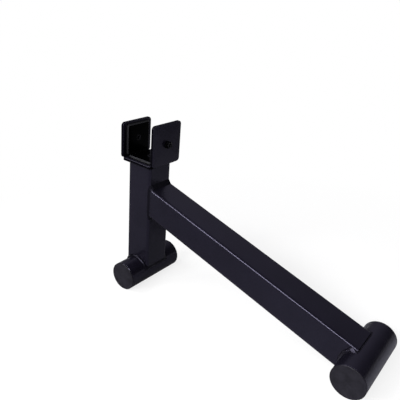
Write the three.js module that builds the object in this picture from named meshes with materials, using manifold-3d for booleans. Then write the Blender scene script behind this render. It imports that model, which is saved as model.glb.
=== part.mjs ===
// A welded lever jack: a short upright and a long lever arm of square tube, each standing on a
// round foot tube laid crosswise, with a plastic-lined steel cradle on top of the upright.
// Millimetres, +Z up. The floor is z = 0 and the origin lies on it, midway between the feet.
// +X runs from the upright along the lever arm, and both feet lie along Y.

import * as THREE from "three";
import { mergeVertices } from "three/addons/utils/BufferGeometryUtils.js";
import Module from "manifold-3d";

// Square tube of the upright and the lever arm
const TUBE_WIDTH = 50;
const TUBE_WALL = 3;
const TUBE_CORNER = 4.5;

// Round tube of the two feet, its length measured over the end caps
const FOOT_DIAMETER = 50;
const FOOT_WALL = 3;
const FOOT_LENGTH = 120;

// Stance on the floor: foot axis to foot axis, the upright's lean towards the arm and its length
// from the near foot's axis to its top end, and how far below that end the arm's upper edge meets it
const FOOT_SPACING = 415;
const UPRIGHT_LEAN_DEGREES = 4.9;
const UPRIGHT_HEIGHT = 204.5;
const ARM_DROP = 37.5;

// Cradle: a base plate between two ears, the outer ear lower so that a load can slide in over it
const PLATE_THICKNESS = 5;
const PLATE_EDGE_ROUND = 0.8;
const CRADLE_WIDTH = 62;
const EAR_WIDTH = 65.5;
const EAR_CORNER = 6;
const ARM_EAR_HEIGHT = 69.5;
const OUTER_EAR_HEIGHT = 60.5;
const EAR_LIFT = 3;
const BASE_CORNER = 2;

// Plastic liners, bevelled towards the load
const LINER_THICKNESS = 3;
const LINER_BEVEL_WIDTH = 3;
const LINER_BEVEL_DEPTH = 2;
const LINER_CORNER = 5;
const LINER_SIDE_MARGIN = 6;
const LINER_SPACING = 1.2;

// Countersunk liner screws, with a washer and a hexagon nut behind each ear
const SCREW_DIAMETER = 6;
const SCREW_HEAD_DIAMETER = 11;
const SCREW_HEAD_RIM = 0.3;
const SCREW_PROTRUSION = 2;
const SOCKET_WIDTH = 4;
const SOCKET_DEPTH = 2;
const WASHER_DIAMETER = 12;
const WASHER_THICKNESS = 1.6;
const NUT_WIDTH = 10;
const NUT_HEIGHT = 5;
const NUT_CHAMFER = 0.8;

// Push-in end caps of the feet: a disc as wide as the tube, and a ribbed cup inside it
const CAP_DISC = 4;
const CAP_EDGE_ROUND = 1.2;
const CAP_CUP_DEPTH = 14;
const CAP_CUP_WALL = 2.5;
const CAP_RIB_HEIGHT = 1.4;
const CAP_RIB_WIDTH = 1.6;
const CAP_RIBS = 3;

// Welds: the leg of each fillet on the faces that it joins, how proud a flush weld stands, and how
// far the face of a fillet is filled out from its root, where a half makes it flat
const SADDLE_WELD_LEG = 4;
const ARM_WELD_LEG = 6;
const CRADLE_WELD_LEG = 3;
const WELD_CROWN = 0.5;
const WELD_FILL_SHARE = 0.4;

// Clearances: between pieces that touch, and round a screw in its holes
const JOINT_GAP = 0.3;
const SCREW_CLEARANCE = 0.3;
const CUT_OVERRUN = 20;

// Facet counts: a quarter turn takes twice the corner steps, and a full circle all of its own
const CORNER_STEPS = 3;
const FOOT_STEPS = 48;
const CAP_STEPS = 32;
const SMALL_STEPS = 20;
const WELD_STEPS = 4;
const CAP_EDGE_STEPS = 3;

// Worked out from the sizes above
const TUBE_HALF = TUBE_WIDTH / 2;
const TUBE_BORE_HALF = TUBE_HALF - TUBE_WALL;
const FOOT_RADIUS = FOOT_DIAMETER / 2;
const FOOT_BORE_RADIUS = FOOT_RADIUS - FOOT_WALL;
const LEAN = THREE.MathUtils.degToRad(UPRIGHT_LEAN_DEGREES);
const SCREW_RADIUS = SCREW_DIAMETER / 2;
const SCREW_HEAD_RADIUS = SCREW_HEAD_DIAMETER / 2;
const LINER_DEPTH = EAR_WIDTH - 2 * LINER_SIDE_MARGIN;
const LINER_FACE = -JOINT_GAP - LINER_THICKNESS;

// The arm's slope follows from the two points that its upper edge and its centre line go through.
const ARM_REACH = FOOT_SPACING * Math.cos(LEAN) - TUBE_HALF;
const ARM_RISE = UPRIGHT_HEIGHT - ARM_DROP - FOOT_SPACING * Math.sin(LEAN);
const MITRE =
  Math.acos(TUBE_HALF / Math.hypot(ARM_REACH, ARM_RISE)) - Math.atan2(ARM_REACH, ARM_RISE);
const SLOPE = LEAN + MITRE;

// The arm's centre line runs from the far foot's axis to the upright's arm-side face. These are its
// length and, along the upright, the height above the near foot's axis at which it gets there.
const ARM_RUN = ARM_REACH / Math.cos(MITRE);
const ARM_HEIGHT = FOOT_SPACING * Math.sin(LEAN) + ARM_RUN * Math.sin(MITRE);

const blackCoat = { color: 0x1c1c20, roughness: 0.42, metalness: 0.1 };
const weldCoat = { color: 0x1e1e22, roughness: 0.36, metalness: 0.1 };
const capPlastic = { color: 0x202024, roughness: 0.5, metalness: 0 };
const linerPlastic = { color: 0x0a0a0c, roughness: 0.2, metalness: 0 };
const fastenerSteel = { color: 0x2a2a2c, roughness: 0.35, metalness: 0.8 };

const wasm = await Module();
wasm.setup();

// A closed three.js geometry as a solid that can be joined and cut.
function solidOf(geometry) {
  const bare = geometry.clone();
  bare.deleteAttribute("normal");
  bare.deleteAttribute("uv");
  const merged = mergeVertices(bare);
  return new wasm.Manifold(
    new wasm.Mesh({
      numProp: 3,
      vertProperties: new Float32Array(merged.attributes.position.array),
      triVerts: new Uint32Array(merged.index.array),
    }),
  );
}

// The solid as a geometry with flat facets.
function geometryOf(solid) {
  const mesh = solid.getMesh();
  const indexed = new THREE.BufferGeometry();
  indexed.setAttribute("position", new THREE.BufferAttribute(mesh.vertProperties, 3));
  indexed.setIndex(new THREE.BufferAttribute(mesh.triVerts, 1));
  const geometry = indexed.toNonIndexed();
  geometry.computeVertexNormals();
  return geometry;
}

function addPiece(parent, name, solid, finish) {
  const mesh = new THREE.Mesh(geometryOf(solid), new THREE.MeshStandardMaterial(finish));
  mesh.name = name;
  parent.add(mesh);
  return mesh;
}

// Draws a rectangle with round corners, centred on the origin, into a new Shape or Path.
function roundedRectangle(width, height, corner, outline = new THREE.Shape()) {
  const x = width / 2 - corner;
  const y = height / 2 - corner;
  const quarter = Math.PI / 2;
  outline.absarc(x, y, corner, 0, quarter);
  outline.absarc(-x, y, corner, quarter, 2 * quarter);
  outline.absarc(-x, -y, corner, 2 * quarter, 3 * quarter);
  outline.absarc(x, -y, corner, 3 * quarter, 4 * quarter);
  outline.closePath();
  return outline;
}

function circle(radius, outline = new THREE.Shape()) {
  return outline.absarc(0, 0, radius, 0, 2 * Math.PI);
}

function extruded(shape, depth, steps = CORNER_STEPS) {
  return new THREE.ExtrudeGeometry(shape, { depth, curveSegments: steps, bevelEnabled: false });
}

// An outline drawn in X and Z, extruded along Y and centred on the XZ plane.
function extrudedAcross(shape, depth, steps) {
  return extruded(shape, depth, steps)
    .translate(0, 0, -depth / 2)
    .rotateX(Math.PI / 2);
}

// Turned about Y from a profile of [radius, y] pairs that starts and ends on the axis.
function turnedAcross(profile, steps) {
  const points = profile.map(([radius, y]) => new THREE.Vector2(radius, y));
  return new THREE.LatheGeometry(points, steps);
}

// The same about Z.
function turned(profile, steps) {
  return turnedAcross(profile, steps).rotateX(Math.PI / 2);
}

// All that lies on the far side of a plane, which leans about Y by an angle from level.
function beyondPlane(height, angle = 0) {
  const size = 4 * (TUBE_WIDTH + EAR_WIDTH);
  const block = new THREE.BoxGeometry(size, size, size).translate(0, 0, size / 2);
  return solidOf(block.rotateY(-angle).translate(0, 0, height));
}

// Height of a foot's surface above its axis, at a distance to one side of it.
function saddleHeight(side, radius) {
  return Math.sqrt(Math.max(0, radius * radius - side * side));
}

// What comes off the end of a square tube so that it sits on a foot: two walls take the foot's own
// curve, and the other two end square where their inner edge meets the foot.
function saddleCutter(radius) {
  const side = Math.min(TUBE_BORE_HALF, radius);
  const height = saddleHeight(side, radius);
  const reach = TUBE_HALF + CUT_OVERRUN;
  const start = Math.atan2(height, side);
  const outline = new THREE.Shape();
  outline.moveTo(reach, -reach);
  outline.lineTo(reach, height);
  outline.absarc(0, 0, radius, start, Math.PI - start);
  outline.lineTo(-reach, height);
  outline.lineTo(-reach, -reach);
  outline.closePath();
  return solidOf(extrudedAcross(outline, 2 * reach, FOOT_STEPS / 4));
}

// A square tube along +Z from a foot's axis, its lower end cut to the foot's saddle.
function saddledTube(length) {
  const outline = roundedRectangle(TUBE_WIDTH, TUBE_WIDTH, TUBE_CORNER);
  const bore = 2 * TUBE_BORE_HALF;
  const boreCorner = Math.max(TUBE_CORNER - TUBE_WALL, TUBE_CORNER / 4);
  outline.holes.push(roundedRectangle(bore, bore, boreCorner, new THREE.Path()));
  return solidOf(extruded(outline, length)).subtract(saddleCutter(FOOT_RADIUS + JOINT_GAP));
}

// The tube's outline grown on all sides and filled, along +Z.
function squareBar(length, grow) {
  const width = TUBE_WIDTH + 2 * grow;
  return extruded(roundedRectangle(width, width, TUBE_CORNER + grow), length);
}

// The face of a fillet weld as the middle one of three control points, between its two toes.
function filletRoot(corner, toeA, toeB) {
  const toA = toeA.clone().sub(corner).multiplyScalar(WELD_FILL_SHARE);
  const toB = toeB.clone().sub(corner).multiplyScalar(WELD_FILL_SHARE);
  return corner.clone().add(toA).add(toB);
}

// The weld round a saddle: a collar turned about the foot's axis, kept only round the square tube.
// Across the foot it is a fillet, and along the foot it fills the groove under the square wall ends.
function saddleWeld() {
  const corner = new THREE.Vector2(FOOT_RADIUS, TUBE_HALF);
  const toeOnFoot = new THREE.Vector2(FOOT_RADIUS, TUBE_HALF + SADDLE_WELD_LEG);
  const toeOnTube = new THREE.Vector2(FOOT_RADIUS + SADDLE_WELD_LEG, TUBE_HALF);
  const root = filletRoot(corner, toeOnFoot, toeOnTube);
  const face = new THREE.QuadraticBezierCurve(toeOnTube, root, toeOnFoot).getPoints(WELD_STEPS);
  const upper = face.map((point) => [point.x, point.y]);
  const lower = upper.map(([radius, y]) => [radius, -y]).reverse();
  const end = toeOnFoot.y;
  const collar = solidOf(turnedAcross([[0, -end], ...lower, ...upper, [0, end]], FOOT_STEPS));

  const wallEnd = saddleHeight(Math.min(TUBE_BORE_HALF, FOOT_RADIUS), FOOT_RADIUS);
  const toe = wallEnd - 2 * SADDLE_WELD_LEG;
  const top = FOOT_RADIUS + 2 * SADDLE_WELD_LEG;
  const plan = roundedRectangle(
    TUBE_WIDTH + 2 * WELD_CROWN,
    2 * end,
    TUBE_CORNER + WELD_CROWN,
  );
  const round = solidOf(extruded(plan, top - toe).translate(0, 0, toe));
  const tube = solidOf(squareBar(2 * top, JOINT_GAP)).subtract(saddleCutter(FOOT_RADIUS));
  const footRoom = FOOT_RADIUS + JOINT_GAP;
  const foot = new THREE.CylinderGeometry(footRoom, footRoom, 4 * end, FOOT_STEPS);
  return collar.intersect(round).subtract(tube).subtract(solidOf(foot));
}

// The weld round the arm's mitred end, in the upright's frame: a fillet above and below the arm, and
// on both sides a flush strip that fills the groove at the upright's round corner.
function armWeld() {
  const halfHeight = TUBE_HALF / Math.cos(MITRE);
  const legAlongArm = new THREE.Vector2(Math.cos(MITRE), -Math.sin(MITRE));
  legAlongArm.multiplyScalar(ARM_WELD_LEG);
  const [above, below] = [1, -1].map((side) => {
    const corner = new THREE.Vector2(TUBE_HALF, ARM_HEIGHT + side * halfHeight);
    const onUpright = corner.clone().add(new THREE.Vector2(0, side * ARM_WELD_LEG));
    const onArm = corner.clone().add(legAlongArm);
    const strip = corner.clone().addScaledVector(legAlongArm, 1 / 2);
    return { corner, onUpright, onArm, strip, root: filletRoot(corner, onUpright, onArm) };
  });
  const outline = new THREE.Shape();
  outline.moveTo(TUBE_HALF - TUBE_CORNER, below.corner.y);
  outline.lineTo(below.onUpright.x, below.onUpright.y);
  outline.quadraticCurveTo(below.root.x, below.root.y, below.onArm.x, below.onArm.y);
  outline.lineTo(below.strip.x, below.strip.y);
  outline.lineTo(above.strip.x, above.strip.y);
  outline.lineTo(above.onArm.x, above.onArm.y);
  outline.quadraticCurveTo(above.root.x, above.root.y, above.onUpright.x, above.onUpright.y);
  outline.lineTo(TUBE_HALF - TUBE_CORNER, above.corner.y);
  outline.closePath();

  const armInUpright = new THREE.Matrix4()
    .makeRotationY(MITRE - Math.PI / 2)
    .setPosition(FOOT_SPACING * Math.cos(LEAN), 0, FOOT_SPACING * Math.sin(LEAN));
  const length = ARM_RUN + TUBE_WIDTH;
  const armRoom = solidOf(squareBar(length, JOINT_GAP).applyMatrix4(armInUpright));
  const round = solidOf(squareBar(length, ARM_WELD_LEG).applyMatrix4(armInUpright));
  const uprightRoom = solidOf(squareBar(UPRIGHT_HEIGHT, JOINT_GAP));
  return solidOf(extrudedAcross(outline, TUBE_WIDTH + 2 * WELD_CROWN, WELD_STEPS))
    .intersect(round)
    .subtract(armRoom)
    .subtract(uprightRoom);
}

// The lower half of a plate with bevelled faces: its back is level at a height, its sides go
// straight down, and the bevel then draws its outline in.
function bevelledPad(outline, back, straight, bevelWidth, bevelDepth) {
  const geometry = new THREE.ExtrudeGeometry(outline, {
    depth: 2 * straight,
    curveSegments: CORNER_STEPS,
    bevelThickness: bevelDepth,
    bevelSize: bevelWidth,
    bevelOffset: -bevelWidth,
    bevelSegments: 1,
  });
  return solidOf(geometry.translate(0, 0, back - straight)).subtract(beyondPlane(back));
}

// The fillet weld between the upright's top end and the cradle.
function cradleWeld() {
  const width = TUBE_WIDTH + 2 * CRADLE_WELD_LEG;
  const outline = roundedRectangle(width, width, TUBE_CORNER + CRADLE_WELD_LEG);
  const leg = CRADLE_WELD_LEG;
  const tube = solidOf(squareBar(UPRIGHT_HEIGHT + CUT_OVERRUN, JOINT_GAP));
  return bevelledPad(outline, UPRIGHT_HEIGHT, JOINT_GAP, leg, leg).subtract(tube);
}

// The bead in the step between an ear's bottom edge and the base plate's end.
function earWeld() {
  const leg = EAR_LIFT - JOINT_GAP;
  const bead = new THREE.Shape();
  bead.absarc(0, 0, leg, -Math.PI / 2, 0);
  bead.lineTo(0, 0);
  bead.closePath();
  return solidOf(extrudedAcross(bead, EAR_WIDTH - 2 * EAR_CORNER, CORNER_STEPS));
}

// A flat plate with eased edges, from z = 0 to its thickness.
function plateSolid(width, depth, corner) {
  const geometry = new THREE.ExtrudeGeometry(roundedRectangle(width, depth, corner), {
    depth: PLATE_THICKNESS - 2 * PLATE_EDGE_ROUND,
    curveSegments: CORNER_STEPS,
    bevelThickness: PLATE_EDGE_ROUND,
    bevelSize: PLATE_EDGE_ROUND,
    bevelOffset: -PLATE_EDGE_ROUND,
    bevelSegments: 2,
  });
  return solidOf(geometry.translate(0, 0, PLATE_EDGE_ROUND));
}

function linerSolid(width, depth) {
  const straight = LINER_THICKNESS - LINER_BEVEL_DEPTH;
  const outline = roundedRectangle(width, depth, LINER_CORNER);
  return bevelledPad(outline, -JOINT_GAP, straight, LINER_BEVEL_WIDTH, LINER_BEVEL_DEPTH);
}

// A countersunk screw along +Z with its head flush in the liner.
function screwSolid(length) {
  const underHead = LINER_FACE + SCREW_HEAD_RIM + SCREW_HEAD_RADIUS - SCREW_RADIUS;
  const screw = turned(
    [
      [0, LINER_FACE],
      [SCREW_HEAD_RADIUS, LINER_FACE],
      [SCREW_HEAD_RADIUS, LINER_FACE + SCREW_HEAD_RIM],
      [SCREW_RADIUS, underHead],
      [SCREW_RADIUS, LINER_FACE + length],
      [0, LINER_FACE + length],
    ],
    SMALL_STEPS,
  );
  const socketRadius = SOCKET_WIDTH / Math.sqrt(3);
  const socket = new THREE.CylinderGeometry(socketRadius, socketRadius, 2 * SOCKET_DEPTH, 6);
  return solidOf(screw).subtract(solidOf(socket.rotateX(Math.PI / 2).translate(0, 0, LINER_FACE)));
}

// The hole that the screw needs through everything that it holds.
function screwHole(length) {
  const head = SCREW_HEAD_RADIUS + SCREW_CLEARANCE;
  const shank = SCREW_RADIUS + SCREW_CLEARANCE;
  const coneTop = LINER_FACE + SCREW_HEAD_RIM;
  return solidOf(
    turned(
      [
        [0, LINER_FACE - CUT_OVERRUN],
        [head, LINER_FACE - CUT_OVERRUN],
        [head, coneTop],
        [shank, coneTop + head - shank],
        [shank, LINER_FACE + length + CUT_OVERRUN],
        [0, LINER_FACE + length + CUT_OVERRUN],
      ],
      SMALL_STEPS,
    ),
  );
}

// A hexagon nut along +Z, its corners turned down at both ends.
function nutSolid(bottom) {
  const radius = NUT_WIDTH / Math.sqrt(3);
  const top = bottom + NUT_HEIGHT;
  const hexagon = new THREE.CylinderGeometry(radius, radius, NUT_HEIGHT, 6);
  const blank = solidOf(hexagon.rotateX(Math.PI / 2).translate(0, 0, (bottom + top) / 2));
  const turnedDown = radius - NUT_CHAMFER * Math.sqrt(3);
  const envelope = turned(
    [
      [0, bottom],
      [turnedDown, bottom],
      [radius, bottom + NUT_CHAMFER],
      [radius, top - NUT_CHAMFER],
      [turnedDown, top],
      [0, top],
    ],
    2 * SMALL_STEPS,
  );
  return blank.intersect(solidOf(envelope));
}

// A plate with its liner screwed to its -Z side, and a washer and a nut on the other where wanted.
function addLinedPlate(parent, names, plate, linerWidth) {
  const washerBottom = PLATE_THICKNESS + JOINT_GAP;
  const nutBottom = washerBottom + WASHER_THICKNESS + JOINT_GAP;
  const clamped = names.nut ? nutBottom + NUT_HEIGHT : PLATE_THICKNESS;
  const length = clamped - LINER_FACE + SCREW_PROTRUSION;
  const hole = screwHole(length);
  const liner = linerSolid(linerWidth, LINER_DEPTH).subtract(hole);
  addPiece(parent, names.plate, plate.subtract(hole), blackCoat);
  addPiece(parent, names.liner, liner, linerPlastic);
  addPiece(parent, names.screw, screwSolid(length), fastenerSteel);
  if (names.nut) {
    const disc = extruded(circle(WASHER_DIAMETER / 2), WASHER_THICKNESS, SMALL_STEPS / 2);
    const washer = solidOf(disc.translate(0, 0, washerBottom)).subtract(hole);
    addPiece(parent, names.washer, washer, fastenerSteel);
    addPiece(parent, names.nut, nutSolid(nutBottom).subtract(hole), fastenerSteel);
  }
}

// A cap with its disc on the +Z side of the tube's end and its ribbed cup below.
function capSolid() {
  const ribRadius = FOOT_BORE_RADIUS - JOINT_GAP;
  const cupRadius = ribRadius - CAP_RIB_HEIGHT;
  const cupBore = cupRadius - CAP_CUP_WALL;
  const discTop = JOINT_GAP + CAP_DISC;
  const pitch = CAP_CUP_DEPTH / CAP_RIBS;
  const profile = [
    [0, JOINT_GAP],
    [cupBore, JOINT_GAP],
    [cupBore, -CAP_CUP_DEPTH],
    [cupRadius, -CAP_CUP_DEPTH],
  ];
  for (let rib = CAP_RIBS; rib > 0; rib--) {
    const middle = pitch / 2 - rib * pitch;
    profile.push([cupRadius, middle - CAP_RIB_WIDTH / 2]);
    profile.push([ribRadius, middle]);
    profile.push([cupRadius, middle + CAP_RIB_WIDTH / 2]);
  }
  profile.push([cupRadius, JOINT_GAP]);
  profile.push([FOOT_RADIUS, JOINT_GAP]);
  for (let step = 0; step <= CAP_EDGE_STEPS; step++) {
    const angle = (step / CAP_EDGE_STEPS) * (Math.PI / 2);
    const radius = FOOT_RADIUS - CAP_EDGE_ROUND * (1 - Math.cos(angle));
    profile.push([radius, discTop - CAP_EDGE_ROUND * (1 - Math.sin(angle))]);
  }
  profile.push([0, discTop]);
  return solidOf(turned(profile, CAP_STEPS));
}

// A foot: the round tube with a cap pushed into each end.
function addFoot(parent, name) {
  const tubeLength = FOOT_LENGTH - 2 * (CAP_DISC + JOINT_GAP);
  const ring = circle(FOOT_RADIUS);
  ring.holes.push(circle(FOOT_BORE_RADIUS, new THREE.Path()));
  const tube = solidOf(extrudedAcross(ring, tubeLength, FOOT_STEPS / 2));
  addPiece(parent, name + "_foot_tube", tube, blackCoat);
  for (const [end, side] of [
    ["front", -1],
    ["rear", 1],
  ]) {
    const cap = addPiece(parent, name + "_foot_" + end + "_cap", capSolid(), capPlastic);
    cap.position.y = (side * tubeLength) / 2;
    cap.rotation.x = (-side * Math.PI) / 2;
  }
}

const jack = new THREE.Group();

// Near foot, and the upright that leans over it
const nearEnd = new THREE.Group();
nearEnd.position.set(-FOOT_SPACING / 2, 0, FOOT_RADIUS);
jack.add(nearEnd);
addFoot(nearEnd, "near");

const upright = new THREE.Group();
upright.rotation.y = LEAN;
nearEnd.add(upright);
addPiece(upright, "upright_tube", saddledTube(UPRIGHT_HEIGHT), blackCoat);
addPiece(upright, "upright_foot_weld", saddleWeld(), weldCoat);
addPiece(upright, "upright_cradle_weld", cradleWeld(), weldCoat);
addPiece(upright, "arm_upright_weld", armWeld(), weldCoat);

// Cradle on the upright's top end. Each plate faces the load with its -Z side.
const cradle = new THREE.Group();
cradle.position.z = UPRIGHT_HEIGHT + JOINT_GAP;
upright.add(cradle);

const base = new THREE.Group();
base.position.z = PLATE_THICKNESS;
base.rotation.y = Math.PI;
cradle.add(base);
addLinedPlate(
  base,
  { plate: "cradle_base_plate", liner: "base_liner", screw: "base_liner_screw" },
  plateSolid(CRADLE_WIDTH - 2 * JOINT_GAP, EAR_WIDTH, BASE_CORNER),
  CRADLE_WIDTH + 2 * (LINER_FACE - LINER_SPACING),
);

const linerBottom = PLATE_THICKNESS + LINER_SPACING;
for (const [name, side, earHeight] of [
  ["arm_side", 1, ARM_EAR_HEIGHT],
  ["outer", -1, OUTER_EAR_HEIGHT],
]) {
  const ear = new THREE.Group();
  ear.position.set((side * CRADLE_WIDTH) / 2, 0, EAR_LIFT + earHeight / 2);
  ear.rotation.y = (side * Math.PI) / 2;
  cradle.add(ear);
  addLinedPlate(
    ear,
    {
      plate: name + "_ear",
      liner: name + "_liner",
      screw: name + "_liner_screw",
      washer: name + "_washer",
      nut: name + "_nut",
    },
    plateSolid(earHeight, EAR_WIDTH, EAR_CORNER),
    earHeight - 2 * (linerBottom - EAR_LIFT),
  );
  const weld = addPiece(cradle, name + "_ear_weld", earWeld(), weldCoat);
  weld.position.set((side * CRADLE_WIDTH) / 2, 0, EAR_LIFT - JOINT_GAP);
  weld.rotation.z = side > 0 ? 0 : Math.PI;
}

// Far foot, and the lever arm from its axis up the slope to the upright
const farEnd = new THREE.Group();
farEnd.position.set(FOOT_SPACING / 2, 0, FOOT_RADIUS);
jack.add(farEnd);
addFoot(farEnd, "far");

const arm = new THREE.Group();
arm.rotation.y = SLOPE - Math.PI / 2;
farEnd.add(arm);
const mitreCut = beyondPlane(ARM_RUN - JOINT_GAP / Math.cos(MITRE), MITRE);
const armTube = saddledTube(ARM_RUN + TUBE_WIDTH).subtract(mitreCut);
addPiece(arm, "lever_arm_tube", armTube, blackCoat);
addPiece(arm, "arm_foot_weld", saddleWeld(), weldCoat);

export default jack;
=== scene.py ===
import math

import bmesh
import bpy
from mathutils import Matrix, Vector


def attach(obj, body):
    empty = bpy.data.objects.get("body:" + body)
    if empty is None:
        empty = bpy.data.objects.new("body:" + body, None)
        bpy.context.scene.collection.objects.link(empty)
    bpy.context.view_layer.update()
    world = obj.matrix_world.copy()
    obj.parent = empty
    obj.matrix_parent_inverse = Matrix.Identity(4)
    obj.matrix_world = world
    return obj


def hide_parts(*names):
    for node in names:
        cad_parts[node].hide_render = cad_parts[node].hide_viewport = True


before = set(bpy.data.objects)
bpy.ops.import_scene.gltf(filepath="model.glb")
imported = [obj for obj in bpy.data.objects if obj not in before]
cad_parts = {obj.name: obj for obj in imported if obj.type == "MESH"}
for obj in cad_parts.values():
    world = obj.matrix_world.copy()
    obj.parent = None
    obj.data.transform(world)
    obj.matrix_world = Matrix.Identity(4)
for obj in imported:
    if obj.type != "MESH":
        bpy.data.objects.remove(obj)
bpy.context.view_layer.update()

# Foot tubes. Two short lengths of 50 mm round steel tube lie crosswise on the floor, one under the
# upright and one at the end of the lever arm. They are saw-cut square, welded under the square
# tubes and powder-coated with the rest of the frame.
MM = 0.001
FOOT_SPACING = 0.415
FOOT_RADIUS = 0.025
FOOT_WALL = 0.003
FOOT_LENGTH = 0.120
CAP_DISC = 0.0015
JOINT_GAP = 0.0003
FOOT_TUBE_HALF = FOOT_LENGTH / 2 - CAP_DISC - JOINT_GAP
FOOT_EASE = 0.3 * MM
FOOT_STEPS = 144
PEEL_DEPTH = 0.02 * MM
near_foot = Matrix.Translation((-FOOT_SPACING / 2, 0, FOOT_RADIUS))
far_foot = Matrix.Translation((FOOT_SPACING / 2, 0, FOOT_RADIUS))


def node(tree, kind, **inputs):
    """A new node whose named inputs are linked where a socket is given, and otherwise set."""
    made = tree.nodes.new(kind)
    for name, value in inputs.items():
        socket = made.inputs[name.replace("_", " ")]
        if isinstance(value, bpy.types.NodeSocket):
            tree.links.new(value, socket)
        else:
            socket.default_value = value
    return made


def new_finish(name):
    finish = bpy.data.materials.new(name)
    finish.use_nodes = True
    tree = finish.node_tree
    shader = tree.nodes["Principled BSDF"]
    place = tree.nodes.new("ShaderNodeTexCoord").outputs["Object"]
    return finish, tree, shader, place


def span(tree, value, low, high):
    """A 0 to 1 texture value spread between two others."""
    return node(tree, "ShaderNodeMapRange", Value=value, To_Min=low, To_Max=high).outputs["Result"]


def two_tones(tree, value, colour, dark, light, start=0.0, end=1.0):
    """A texture value as a colour, from a darker to a lighter share of the colour."""
    ramp = node(tree, "ShaderNodeValToRGB", Fac=value)
    stops = ramp.color_ramp.elements
    stops[0].position, stops[1].position = start, end
    stops[0].color = (*[dark * c for c in colour], 1)
    stops[1].color = (*[light * c for c in colour], 1)
    return ramp.outputs["Color"]


def roughen(tree, shader, value, low, high):
    tree.links.new(span(tree, value, low, high), shader.inputs["Roughness"])


def texture_bump(tree, shader, height, strength, depth):
    bump = node(tree, "ShaderNodeBump", Height=height, Strength=strength, Distance=depth)
    tree.links.new(bump.outputs["Normal"], shader.inputs["Normal"])


def powder_coat(name, colour, rough, peel, gloss):
    """Baked powder: a fine orange peel, slightly uneven gloss and a trace of dust in its tone."""
    finish, tree, shader, place = new_finish(name)
    broad = node(tree, "ShaderNodeTexNoise", Vector=place, Scale=22.0, Detail=4.0, Roughness=0.6)
    tone = two_tones(
        tree, broad.outputs["Fac"], colour, dark=0.82, light=1.2, start=0.3, end=0.75
    )
    tree.links.new(tone, shader.inputs["Base Color"])
    roughen(tree, shader, broad.outputs["Fac"], *rough)
    orange_peel = node(tree, "ShaderNodeTexNoise", Vector=place, Scale=520.0, Detail=2.0)
    texture_bump(tree, shader, orange_peel.outputs["Fac"], peel, PEEL_DEPTH)
    shader.inputs["Specular IOR Level"].default_value = gloss
    shader.inputs["Specular Tint"].default_value = (0.74, 0.7, 1, 1)
    return finish


def ring_points(radius, steps):
    turn = 2 * math.pi / steps
    return [(radius * math.cos(i * turn), radius * math.sin(i * turn)) for i in range(steps)]


def mesh_of_rings(name, mesh, loops, closed):
    """Joins rings of equally many vertices one to the next. A closed mesh joins the last ring to
    the first, and an open one gets a flat face on each end ring."""
    for first, second in zip(loops, loops[1:] + loops[:1] if closed else loops[1:]):
        for i in range(len(first)):
            j = (i + 1) % len(first)
            mesh.faces.new((first[i], first[j], second[j], second[i]))
    if not closed:
        mesh.faces.new(loops[0][::-1])
        mesh.faces.new(loops[-1])
    bmesh.ops.recalc_face_normals(mesh, faces=mesh.faces)
    data = bpy.data.meshes.new(name)
    mesh.to_mesh(data)
    mesh.free()
    return data


def linked_object(name, data):
    made = bpy.data.objects.new(name, data)
    bpy.context.scene.collection.objects.link(made)
    return made


def finished_piece(name, data, replaced, smooth):
    """A piece of the jack, smooth but for the edges that turn by more than an angle in degrees."""
    piece = linked_object(name, data)
    data.polygons.foreach_set("use_smooth", [True] * len(data.polygons))
    data.set_sharp_from_angle(angle=math.radians(smooth))
    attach(piece, "root")
    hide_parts(replaced)
    return piece


def ringed_solid(name, rings, place, finish, replaced, closed=True, smooth=35):
    """A solid through rings of equally many points."""
    mesh = bmesh.new()
    loops = [[mesh.verts.new(place @ Vector(point)) for point in ring] for ring in rings]
    data = mesh_of_rings(name, mesh, loops, closed)
    data.materials.append(finish)
    return finished_piece(name, data, replaced, smooth)


black_coat = powder_coat(
    "black_powder_coat", (0.0052, 0.0046, 0.0084), rough=(0.22, 0.28), peel=0.5, gloss=0.32
)

for foot, place in (("near", near_foot), ("far", far_foot)):
    bore = FOOT_RADIUS - FOOT_WALL
    profile = [
        (FOOT_RADIUS - FOOT_EASE, -FOOT_TUBE_HALF),
        (FOOT_RADIUS, FOOT_EASE - FOOT_TUBE_HALF),
        (FOOT_RADIUS, FOOT_TUBE_HALF - FOOT_EASE),
        (FOOT_RADIUS - FOOT_EASE, FOOT_TUBE_HALF),
        (bore, FOOT_TUBE_HALF),
        (bore, -FOOT_TUBE_HALF),
    ]
    rings = [[(x, y, z) for x, z in ring_points(radius, FOOT_STEPS)] for radius, y in profile]
    ringed_solid(
        foot + "_round_foot", rings, place, black_coat, foot + "_foot_tube"
    )

# Foot end caps. Each is one injection-moulded black plastic plug: a thin disc as wide as the tube
# with a rounded rim, and a ribbed cup that is pressed into the tube and holds by its ribs.
CAP_RIM_ROUND = 0.9 * MM
CAP_RIM_STEPS = 8
CAP_EASE = 0.4 * MM
CAP_STEPS = 112
CAP_CUP_DEPTH = 14 * MM
CAP_CUP_WALL = 2.5 * MM
CAP_RIB_HEIGHT = 1.4 * MM
CAP_RIB_WIDTH = 1.6 * MM
CAP_RIBS = 3
GRAIN_DEPTH = 0.02 * MM


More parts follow.
